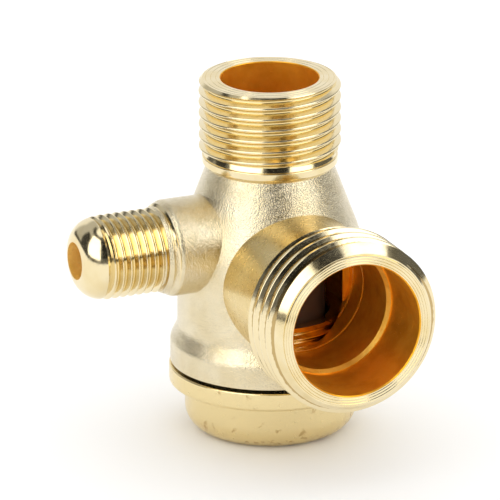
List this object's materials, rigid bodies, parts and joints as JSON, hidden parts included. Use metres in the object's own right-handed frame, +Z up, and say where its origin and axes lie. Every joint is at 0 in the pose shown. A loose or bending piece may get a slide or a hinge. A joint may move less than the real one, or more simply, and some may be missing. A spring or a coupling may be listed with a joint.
{
  "type": "non-return valve",
  "caption": "Brass non-return valve for a compressor, with threaded ports at right angles. A sprung shutter closes the top inlet against the large side outlet.",
  "frame": {"origin": "centre of the cap's flat foot, which the valve stands on", "axes": "+Z up the valve's axis and out of the inlet port, -Y out of the large outlet port, -X out of the small unloader port"},
  "size_m": [0.0367, 0.037, 0.043],
  "materials": {
    "plated_brass_body": "grainy casting with bright turned ends",
    "plated_brass_cap": "satin",
    "black_rubber": "matt",
    "spring_steel": "drawn wire",
    "brown_nylon": "moulded, satin",
    "disc_rubber": "matt",
    "stainless_steel": "turned"
  },
  "bodies": {
    "housing": {"valve_body": "plated_brass_body", "bottom_cap": "plated_brass_cap", "cap_seal_ring": "black_rubber", "return_spring": "spring_steel"},
    "shutter_group": {"shutter": "brown_nylon", "seal_disc": "disc_rubber", "disc_washer": "stainless_steel", "disc_screw": "stainless_steel"}
  },
  "joints": [
    {"name": "shutter_lift", "type": "slide", "parent": "housing", "child": "shutter_group", "axis": [0, 0, -1], "range_m": [0, 0.0035], "stiffness_N_per_m": 400, "springref_m": -0.0025, "deforming": ["return_spring"]}
  ]
}
